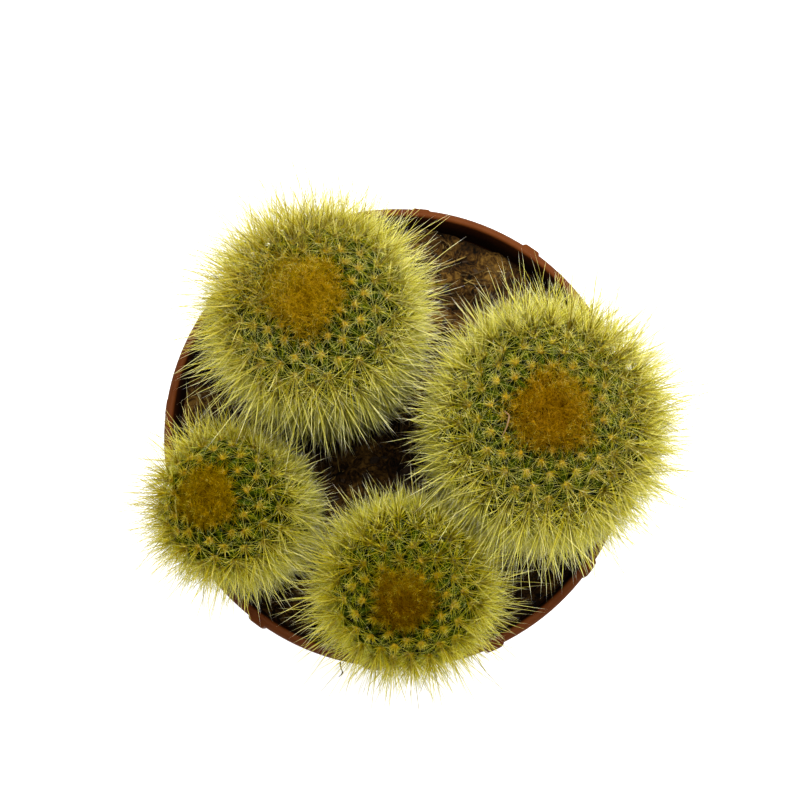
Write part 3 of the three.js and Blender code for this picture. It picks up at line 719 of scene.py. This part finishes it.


# Waxy living skin. The eye gets a deep green, with painted shade almost black in the grooves,
# turning to golden brown felt at the crown.
skin_material, tree, shader = new_material("waxy_cactus_skin")
place = add_node(tree, "ShaderNodeTexCoord").outputs["Object"]
groove = add_node(tree, "ShaderNodeAttribute", attribute_name="groove")
in_crown = add_node(tree, "ShaderNodeAttribute", attribute_name="in_crown")
mottle = add_node(tree, "ShaderNodeTexNoise", {"Vector": place, "Scale": 1 / (3 * MM), "Detail": 5})
green = add_node(tree, "ShaderNodeMix", {
    "Factor": mottle.outputs["Fac"], "A": linear("#242e05"), "B": linear("#3e4a08"),
}, data_type="RGBA")
# Painted shade: the grooves between the ribs are mixed towards near black.
groove_shaded = add_node(tree, "ShaderNodeMix", {
    "Factor": groove.outputs["Fac"], "A": green.outputs["Result"], "B": linear("#0a1003"),
}, data_type="RGBA")
felted = add_node(tree, "ShaderNodeMapRange", {
    "Value": in_crown.outputs["Fac"], "From Min": 0.05, "From Max": 0.3,
})
colour = add_node(tree, "ShaderNodeMix", {
    "Factor": felted.outputs["Result"], "A": groove_shaded.outputs["Result"], "B": linear("#5e3c04"),
}, data_type="RGBA")
tree.links.new(colour.outputs["Result"], shader.inputs["Base Color"])
shader.inputs["Roughness"].default_value = 0.6
shader.inputs["Specular IOR Level"].default_value = 0.0
pores = add_node(tree, "ShaderNodeTexNoise", {"Vector": place, "Scale": 1 / (0.6 * MM), "Detail": 3})
bump = add_node(tree, "ShaderNodeBump", {
    "Height": pores.outputs["Fac"], "Strength": 0.3, "Distance": 0.2 * MM,
})
tree.links.new(bump.outputs["Normal"], shader.inputs["Normal"])

for name, stem in STEMS.items():
    body = stem_body(name + "_flesh", stem)
    body.data.materials.append(skin_material)
    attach(body, "root")
    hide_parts(name)

# Areoles
# A small round pad of felt sits on the rib at each areole, and all its spines grow from it.
# The youngest stand in the wool of the crown, and the felt fades from golden brown to straw.
PAD_WIDTH = 1.3 * MM
PAD_SHAPE = [1.1, 1.0, 0.7]
FULL_AGE = 20 * MM
VIGOUR_LEVELS = [18, 42]
VIGOUR = [1.05, 0.62]
CROWDING = 0.3
bpy.ops.object.select_all(action="DESELECT")
bpy.ops.mesh.primitive_uv_sphere_add(segments=6, ring_count=3, radius=0.5)
pad = bpy.context.object
bpy.ops.object.mode_set(mode="EDIT")
bpy.ops.mesh.quads_convert_to_tris()
bpy.ops.object.mode_set(mode="OBJECT")
pad_corners, pad_faces = shape_of(pad)

# Felt of fine hairs. The eye gets golden brown wool by the crown and dull straw lower down.
wool_material, tree, shader = new_material("areole_felt")
age = add_node(tree, "ShaderNodeAttribute", attribute_name="age")
colour = add_node(tree, "ShaderNodeMix", {
    "Factor": age.outputs["Fac"], "A": linear("#a07c0a"), "B": linear("#a89c50"),
}, data_type="RGBA")
tree.links.new(colour.outputs["Result"], shader.inputs["Base Color"])
shader.inputs["Roughness"].default_value = 0.9
shader.inputs["Specular IOR Level"].default_value = 0.0


def areole_places(stem, rng):
    """Distance down from the crown and turn of each areole, staggered from rib to rib."""
    half_rows = int((stem["crown_start"] - 2 * MM) / (AREOLE_SPACING / 2))
    half_row, rib = np.meshgrid(np.arange(-1, half_rows + 1), np.arange(stem["ribs"]))
    staggered = (half_row + rib) % 2 == 0
    down = half_row[staggered] * AREOLE_SPACING / 2 + rng.normal(0, 0.3 * MM, staggered.sum())
    turn = (rib[staggered] + rng.normal(0, 0.06, staggered.sum())) / stem["ribs"]
    return down, turn


for name, stem in STEMS.items():
    rng = np.random.default_rng(stem["seed"])
    down, turn = areole_places(stem, rng)
    points, outward, below, sideways = skin(stem, stem["crown_start"] - down, turn)
    tilt = rng.normal(0, 0.12, (len(down), 2))
    outward = unit(outward + below * tilt[:, :1] + sideways * tilt[:, 1:])
    sideways = unit(np.cross(outward, below))
    below = np.cross(sideways, outward)
    stem["rng"] = rng
    stem["areoles"] = (points, outward, below, sideways)
    stem["down"] = down
    stem["age"] = np.clip(down / FULL_AGE, 0, 1)

    # How far its spines have grown goes by the millimetres below the crown, with the lead of
    # the stem's early side.
    heading, lead, all_round = stem["early"]
    toward = points[:, :2] - stem["axis"][-1][:2]
    side = np.cos(np.arctan2(toward[:, 1], toward[:, 0]) - math.radians(heading))
    stem["grown"] = down / MM + lead * np.clip(side * 1.3, 0, 1) + rng.normal(0, 0.6, len(down))
    stem["grown"] += all_round * np.clip(down / (8 * MM), 0, 1)

    # Vigour is the share of their full length that they reach: less low down, and less on the
    # side that faces the other stems.
    crowded = np.clip(outward[:, :2] @ -unit(stem["axis"][-1][:2]), 0, 1)
    stem["vigour"] = np.interp(down / MM, VIGOUR_LEVELS, VIGOUR) * (1 - CROWDING * crowded)

    size = PAD_WIDTH * rng.uniform(0.8, 1.15, len(down))
    wobble = pad_corners[None] * rng.uniform(0.8, 1.2, (len(down), len(pad_corners), 1))
    pads = lumps(
        name + "_areoles", wobble, pad_faces, points, (below, sideways, outward),
        size[:, None] * PAD_SHAPE, age=stem["age"],
    )
    pads.data.materials.append(wool_material)
    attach(pads, "root")
    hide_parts(name)

# Radial spines
# Fine glassy bristles, 3 to 9 mm long and straight, which spread flat over the skin from every
# areole and cross those of their neighbours, so that the skin shows only as dark gaps in a net.
RADIAL_WIDTH = 0.09
BALL_CLEARANCE = 0.6 * MM
WALL_CLEARANCE = 0.4 * MM
TIPS_BEYOND_BOX = 3.0 * MM
SHORTENING = 0.78
SHORTEST = 1.2 * MM
DIMMEST = 0.55
BRIGHTEST = 1.4


def inner_radius(z):
    """Radius of the pot's inner wall at heights near the rim."""
    heights = [0, COLLAR_LEVEL, COLLAR_LEVEL + 1.2 * MM, RIM_LEVEL]
    radii = [BASE_RADIUS - WALL, WALL_TOP_INNER_RADIUS, COLLAR_INNER_RADIUS, RIM_RADIUS - RIM_WIDTH]
    return np.interp(z, heights, radii)


def blocked(own, points):
    """Whether points lie in another stem, in the soil or in the pot's wall."""
    reach = np.hypot(points[..., 0], points[..., 1])
    z = points[..., 2]
    over_wall = (reach > inner_radius(z) - WALL_CLEARANCE) & (reach < LUG_RADIUS + 1 * MM)
    in_wall = (z < RIM_LEVEL + WALL_CLEARANCE) & over_wall
    in_soil = (z < SOIL_LEVEL + WALL_CLEARANCE) & (reach < 58 * MM)
    found = in_wall | in_soil
    for name, stem in STEMS.items():
        if name == own:
            continue
        for centre, radius in zip(stem["ball_centres"], stem["ball_radii"]):
            found |= np.linalg.norm(points - centre, axis=-1) < radius + BALL_CLEARANCE
    return found


def fitted(own, roots, directions, bends, lengths):
    """Lengths cut back until each needle is free, and which needles keep enough to be seen."""
    t = np.linspace(0.25, 1, 5)[None, :, None]
    lengths = lengths.copy()
    low, high = np.array(cad_box[0]) - TIPS_BEYOND_BOX, np.array(cad_box[1]) + TIPS_BEYOND_BOX
    bad = np.ones(len(roots), dtype=bool)
    for _ in range(9):
        line = directions[bad, None] * t + bends[bad, None] * t ** 2
        points = roots[bad, None] + line * lengths[bad, None, None]
        outside = ((points < low) | (points > high)).any(-1)
        still = (outside | blocked(own, points)).any(1)
        bad[bad] = still
        if not bad.any():
            break
        lengths[bad] *= SHORTENING
    return lengths, ~bad & (lengths > SHORTEST)


def spread(stem, site, around, splay, droop):
    """Directions from areoles: turned out by the splay angle towards a side, and tilted down."""
    _, outward, below, sideways = stem["areoles"]
    middle = outward[site] * np.cos(droop)[:, None] + below[site] * np.sin(droop)[:, None]
    lower = below[site] * np.cos(droop)[:, None] - outward[site] * np.sin(droop)[:, None]
    flat = lower * np.cos(around)[:, None] + sideways[site] * np.sin(around)[:, None]
    return middle * np.cos(splay)[:, None] + flat * np.sin(splay)[:, None]


def open_cone(rng, least, most):
    """Splay angles spread evenly over the cone between a least and a most angle, in degrees."""
    return np.arccos(rng.uniform(np.cos(np.radians(most)), np.cos(np.radians(least))))


def sites_of(stem, growth, counts):
    """Areole number of each needle, with counts per areole that change as an areole grows."""
    per_areole = np.round(np.interp(stem["grown"], growth, counts)).astype(int)
    return np.repeat(np.arange(len(per_areole)), per_areole)


def grow(name, own, material, model, site, directions, bends, lengths, widths, age, rng):
    """Grows one kind of spine from the pads of a stem's areoles, and leaves out those with no room."""
    points, _, below, sideways = STEMS[own]["areoles"]
    over_pad = rng.normal(0, PAD_WIDTH / 4, (len(site), 2))
    roots = points[site] + below[site] * over_pad[:, :1] + sideways[site] * over_pad[:, 1:]
    lengths, keep = fitted(own, roots, directions, bends, lengths)
    # The stem's painted shade dims its spines, by its square root.
    tint = rng.uniform(DIMMEST, BRIGHTEST, len(roots)) * math.sqrt(STEMS[own]["shade"])
    spines = planted(
        own + "_" + name, model, roots[keep], directions[keep], bends[keep], lengths[keep],
        widths[keep], rng, tint=tint[keep], age=age[keep],
    )
    spines.data.materials.append(material)
    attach(spines, "root")
    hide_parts(own)


def bristle(name, young, old, roughness, gloss, glow, palest=0.86):
    """Spine coloured from root to tip by three colours, one set for young and one for old ones.
    The brightest spines keep only the palest share of their colour, and the dim ones gain some."""
    material, tree, shader = new_material(name)
    to_tip = add_node(tree, "ShaderNodeAttribute", attribute_name="to_tip")
    tint = add_node(tree, "ShaderNodeAttribute", attribute_name="tint")
    age = add_node(tree, "ShaderNodeAttribute", attribute_name="age")
    along = []
    for colours in (young, old):
        node = add_node(tree, "ShaderNodeValToRGB", {"Fac": to_tip.outputs["Fac"]})
        node.color_ramp.elements[0].color = linear(colours[0])
        node.color_ramp.elements[1].color = linear(colours[2])
        node.color_ramp.elements.new(0.45).color = linear(colours[1])
        node.color_ramp.elements.new(0.7).color = linear(colours[1])
        along.append(node.outputs["Color"])
    aged = add_node(tree, "ShaderNodeMix", {
        "Factor": age.outputs["Fac"], "A": along[0], "B": along[1],
    }, data_type="RGBA")
    purity = add_node(tree, "ShaderNodeMapRange", {
        "Value": tint.outputs["Fac"], "From Min": 0.6, "From Max": BRIGHTEST,
        "To Min": 1.1, "To Max": palest,
    })
    varied = add_node(tree, "ShaderNodeHueSaturation", {
        "Color": aged.outputs["Result"], "Saturation": purity.outputs["Result"], "Value": tint.outputs["Fac"],
    })
    tree.links.new(varied.outputs["Color"], shader.inputs["Base Color"])
    shader.inputs["Roughness"].default_value = roughness
    shader.inputs["Specular IOR Level"].default_value = gloss
    shader.inputs["Subsurface Weight"].default_value = glow
    shader.inputs["Subsurface Radius"].default_value = (1.0, 0.85, 0.2)
    shader.inputs["Subsurface Scale"].default_value = 0.4 * MM
    return material


# Horny bristle, almost clear. The eye gets thin threads with a slight gloss, brown by the crown
# and pale greenish straw further down.
radial_spine = bristle(
    "pale_bristle", ("#7c6204", "#98820c", "#b8a030"), ("#8e881a", "#c2be42", "#eeecb8"), 0.4, 0.02, 0.6,
)
straight_model = needle_model("straight", [])
for name, stem in STEMS.items():
    rng = stem["rng"]
    site = sites_of(stem, [-2, 0, 6, 13, 16], np.array([0, 18, 28, 30, 22]) * stem["net"])
    count = len(site)
    age = np.clip(stem["down"][site] / (7 * MM), 0, 1)
    first = np.concatenate([[True], site[1:] != site[:-1]])
    order = np.arange(count) - np.maximum.accumulate(np.where(first, np.arange(count), 0))
    share = (order + rng.uniform(-0.3, 0.3, count)) / np.bincount(site, minlength=len(stem["age"]))[site]
    around = 2 * math.pi * share + rng.uniform(0, 2 * math.pi, len(stem["age"]))[site]
    splay = np.radians(rng.normal(76, 6, count))
    directions = spread(stem, site, around, splay, np.zeros(count))
    lengths = np.interp(stem["grown"][site], [-3, 0, 5, 9, 13], [1.6, 3.4, 5.4, 7.5, 9.0])
    lengths *= rng.uniform(0.85, 1.1, count) * MM
    widths = rng.uniform(0.85, 1.15, count) * RADIAL_WIDTH * MM
    no_bend = np.zeros((count, 3))
    grow("radials", name, radial_spine, straight_model, site, directions, no_bend, lengths, widths, age, rng)

# Rising bristles
# Stiffer golden bristles stand up between the flat ones. There are none by the crown. Further out
# they make a dense brush, 6 to 10 mm deep, that hides the skin.

# Horny spine. The eye gets glossy golden yellow, brown at the root and pale at the tip.
golden_spine = bristle(
    "golden_spine", ("#8a6406", "#b2980e", "#dece6a"), ("#947e0e", "#d6cd56", "#f0ebbc"), 0.35, 0.04, 0.45,
)
for name, stem in STEMS.items():
    rng = stem["rng"]
    site = sites_of(stem, [-3, 9, 13, 17], [0, 0, 22, 42])
    count = len(site)
    age = stem["age"][site]
    around = rng.uniform(0, 2 * math.pi, count)
    splay = open_cone(rng, np.full(count, 4.0), 62.0)
    directions = spread(stem, site, around, splay, np.zeros(count))
    lengths = np.interp(stem["grown"][site], [10, 14, 20], [6.0, 8.5, 10.0]) * stem["vigour"][site]
    lengths *= rng.uniform(0.5, 1.15, count) * math.sqrt(stem["longest"] / (19 * MM)) * MM
    widths = rng.uniform(0.85, 1.15, count) * (0.12 + 0.07 * age) * MM
    no_bend = np.zeros((count, 3))
    grow("risers", name, golden_spine, straight_model, site, directions, no_bend, lengths, widths, age, rng)

# Central spines
# Longer, stiffer golden bristles from the middle of each areole, the inner ones in a tight
# bundle and the two longest pale at the tip. Those by the crown are still short. The grown ones
# stand straight out all round.
CENTRALS = 14
INNER_CENTRALS = 5
LONGEST_CENTRALS = 2
GOLDEN_ANGLE = math.radians(137.5)
SHORT_CENTRAL = 1.6 * MM
central_model = needle_model("central", [(0.75, 0.75)])

# Horny spine, almost clear in its outer half. The eye gets gold at the root and pale straw beyond.
straw_spine = bristle(
    "straw_spine", ("#8a6406", "#b2980e", "#dece6a"), ("#8c780e", "#dcd47c", "#f6f0dc"), 0.35, 0.04, 0.3,
)
for name, stem in STEMS.items():
    rng = stem["rng"]
    site = np.repeat(np.arange(len(stem["age"])), CENTRALS)
    count = len(site)
    order = np.tile(np.arange(CENTRALS), count // CENTRALS)
    age = stem["age"][site]
    inner = order < INNER_CENTRALS
    longest = order < LONGEST_CENTRALS
    around = order * GOLDEN_ANGLE + rng.normal(0, 0.4, count)
    loose = 16 + 20 * np.clip((stem["grown"][site] - 9) / 5, 0, 1)
    splay = open_cone(rng, np.where(inner, 1.0, 8.0), np.where(inner, loose, 52.0))
    droop = np.radians(rng.normal(12, 8, count)) * age
    directions = spread(stem, site, around, splay, droop)
    bends = stem["areoles"][2][site] * (0.05 * age)[:, None] + rng.normal(0, 0.03, (count, 3))
    full = stem["longest"] * stem["vigour"][site] * np.where(longest, 1.0, np.where(inner, 0.76, 0.58))
    grown = np.interp(stem["grown"][site], [-3, 0, 6, 8.5, 11], [0, 0.03, 0.06, 0.5, 1])
    lengths = (SHORT_CENTRAL + (full - SHORT_CENTRAL) * grown) * rng.uniform(0.75, 1.1, count)
    widths = (0.1 + 0.06 * grown * np.where(inner, 1, 0.7)) * rng.uniform(0.85, 1.15, count) * MM
    for kind, material, chosen in (
        ("longest", straw_spine, longest),
        ("centrals", golden_spine, ~longest),
    ):
        grow(
            kind, name, material, central_model, site[chosen], directions[chosen], bends[chosen],
            lengths[chosen], widths[chosen], age[chosen], rng,
        )

# Young tufts
# In the young areoles the coming spines stand as a short dense tuft, with pale tips and orange at
# its heart. It has gone where the spines are full grown.
TUFT_AGE = 6 * MM

# Young horn. The eye gets small golden yellow points with an orange heart.
tuft_spine = bristle(
    "young_horn", ("#7c5404", "#987606", "#ae8c16"), ("#b07808", "#c6aa22", "#e2da88"), 0.45, 0.02, 0.5,
)
for name, stem in STEMS.items():
    rng = stem["rng"]
    site = sites_of(stem, [-3, 0, 12, 16], [8, 34, 44, 0])
    count = len(site)
    around = rng.uniform(0, 2 * math.pi, count)
    splay = open_cone(rng, np.zeros(count), 70.0)
    directions = spread(stem, site, around, splay, np.zeros(count))
    lengths = np.interp(stem["grown"][site], [-3, 0, 6], [1.6, 2.0, 2.3]) * rng.uniform(0.6, 1.05, count) * MM
    widths = rng.uniform(0.12, 0.17, count) * MM
    no_bend = np.zeros((count, 3))
    age = np.clip(stem["down"][site] / TUFT_AGE, 0, 1)
    grow("tufts", name, tuft_spine, straight_model, site, directions, no_bend, lengths, widths, age, rng)

# Crown wool
# At each growing point the youngest spines stand packed in golden brown wool, matted to a flat
# disc with a wavy edge, with a few dried dark ones in it.
CROWN_HAIRS_PER_MM2 = 24.0
CROWN_SPREAD = 0.82
DRIED_SHARE = 0.04

# Young bristle and wool. The eye gets matted golden brown, its hairs brightened at random, and the
# brightest stand in as painted glints. The age runs from the middle of the crown to its rim.
crown_wool = bristle(
    "crown_wool", ("#664804", "#886404", "#a6800e"), ("#705a04", "#947808", "#bca01c"),
    0.6, 0.0, 0.0, palest=0.97,
)
for name, stem in STEMS.items():
    rng = stem["rng"]
    radius = stem["crown"] * CROWN_SPREAD
    count = int(math.pi * (radius / MM) ** 2 * CROWN_HAIRS_PER_MM2)
    share = np.sqrt(rng.random(count)) * (CROWN_SPREAD + 0.2 * np.abs(rng.normal(0, 1, count)))
    turn = rng.random(count)
    waves = 0.14 * np.sin(6 * math.pi * turn + stem["seed"])
    waves += 0.1 * np.sin(10 * math.pi * turn + 2 * stem["seed"])
    share *= 1 + waves
    over = stem["crown_end"] - (stem["crown_end"] - stem["crown_start"]) * share
    points, outward, below, sideways = skin(stem, over, turn)
    points -= outward * (CROWN_SINK * stem["radius"] * np.clip(1 - share, 0, 1) ** 2)[:, None]
    flat = below * rng.normal(0, 1, (count, 1)) + sideways * rng.normal(0, 1, (count, 1))
    directions = unit(unit(flat) + outward * rng.uniform(0.15, 1.2, (count, 1)))
    bends = np.zeros((count, 3))
    lengths = rng.uniform(1.7, 3.6, count) * (1.3 - 0.3 * share) * MM
    dried = rng.random(count) < DRIED_SHARE
    widths = np.where(dried, 0.26, rng.uniform(0.11, 0.19, count)) * MM
    # The crown's tint carries the stem's painted shade in full.
    crown = planted(
        name + "_crown", straight_model, points, directions, bends, lengths, widths, rng,
        tint=np.where(dried, 0.2, rng.uniform(0.55, 1.6, count)) * stem["shade"],
        age=np.clip(stem["gold"] + 0.35 * share + rng.normal(0, 0.2, count), 0, 1),
    )
    crown.data.materials.append(crown_wool)
    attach(crown, "root")
    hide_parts(name)

# Shed spine
# One old spine, dried and bent, lies caught on the young ones at the left of the crown of the
# right stem. It was once a central one, and is loose now.
shed = planted(
    "shed_spine", needle_model("shed", [(0.15, 1.1), (0.5, 1.0), (0.8, 0.8)], tip=0.4, sides=5),
    np.array([(24.0, -9.6, 157.4), (24.0, -9.6, 157.4)]) * MM,
    unit(np.array([(-0.05, -1.0, 0.1), (-0.9, 0.7, 0.1)])),
    np.array([(-0.3, 0.05, -0.35), (0, 0.2, -0.4)]),
    np.array([4.9, 1.3]) * MM, np.array([0.42, 0.36]) * MM, rng,
)

# Dead horn. The eye gets a dull tan.
material, tree, shader = new_material("dried_horn")
shader.inputs["Base Color"].default_value = linear("#846844")
shader.inputs["Roughness"].default_value = 0.7
shed.data.materials.append(material)
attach(shed, "root")

# Studio
# A plain white light table, a white room of soft light and one large soft lamp overhead, a
# little to the right and behind. The camera looks steeply down from the front, as in the
# photograph, and its scale in pixels is that at the level of the rim.
IMAGE_SIZE = 800
SENSOR = 36.0
CAMERA_DISTANCE = 400 * MM
CAMERA_ELEVATION = math.radians(77.8)
PIXELS_PER_MM = 3.91
RIM_CENTRE_PIXEL = (397.4, 430.0)

focal_pixels = PIXELS_PER_MM * CAMERA_DISTANCE / MM
back = Vector((0, -math.cos(CAMERA_ELEVATION), math.sin(CAMERA_ELEVATION)))
right = Vector((1, 0, 0))
up = back.cross(right)
rim_centre = Vector((0, 0, RIM_LEVEL))
slope_right = (RIM_CENTRE_PIXEL[0] - IMAGE_SIZE / 2) / focal_pixels
slope_up = (IMAGE_SIZE / 2 - RIM_CENTRE_PIXEL[1]) / focal_pixels
bpy.ops.object.camera_add(
    location=rim_centre + CAMERA_DISTANCE * (back - slope_right * right - slope_up * up),
    rotation=(math.pi / 2 - CAMERA_ELEVATION, 0, 0),
)
camera = bpy.context.object
camera.data.sensor_width = SENSOR
camera.data.lens = SENSOR * focal_pixels / IMAGE_SIZE
camera.data.clip_start = 0.01
bpy.context.scene.camera = camera

# The table glows white. Its own surface is grey, so that it throws no more than its glow up at
# the spines round the stems' edges.
TABLE_SIZE = 6
TABLE_GLOW = 0.8
bpy.ops.mesh.primitive_plane_add(size=TABLE_SIZE)
floor = bpy.context.object
floor.name = "floor"
material, tree, shader = new_material("white_light_table")
shader.inputs["Base Color"].default_value = linear("#b4b4b2")
shader.inputs["Roughness"].default_value = 0.9
shader.inputs["Emission Color"].default_value = (1, 1, 1, 1)
shader.inputs["Emission Strength"].default_value = TABLE_GLOW
floor.data.materials.append(material)

ROOM_LIGHT = 0.29
world = bpy.data.worlds.new("soft_white_room")
world.use_nodes = True
background = world.node_tree.nodes["Background"]
background.inputs["Color"].default_value = (1, 1, 1, 1)
background.inputs["Strength"].default_value = ROOM_LIGHT
bpy.context.scene.world = world

LAMP_PLACE = Vector((0.12, 0.18, 1.04))
LAMP_WIDTH = 0.7
LAMP_POWER = 15
bpy.ops.object.light_add(type="AREA", location=LAMP_PLACE)
lamp = bpy.context.object
lamp.rotation_euler = LAMP_PLACE.to_track_quat("Z", "Y").to_euler()
lamp.data.shape = "DISK"
lamp.data.size = LAMP_WIDTH
lamp.data.energy = LAMP_POWER
bpy.context.scene.view_settings.view_transform = "Standard"
bpy.context.scene.view_settings.look = "Medium High Contrast"
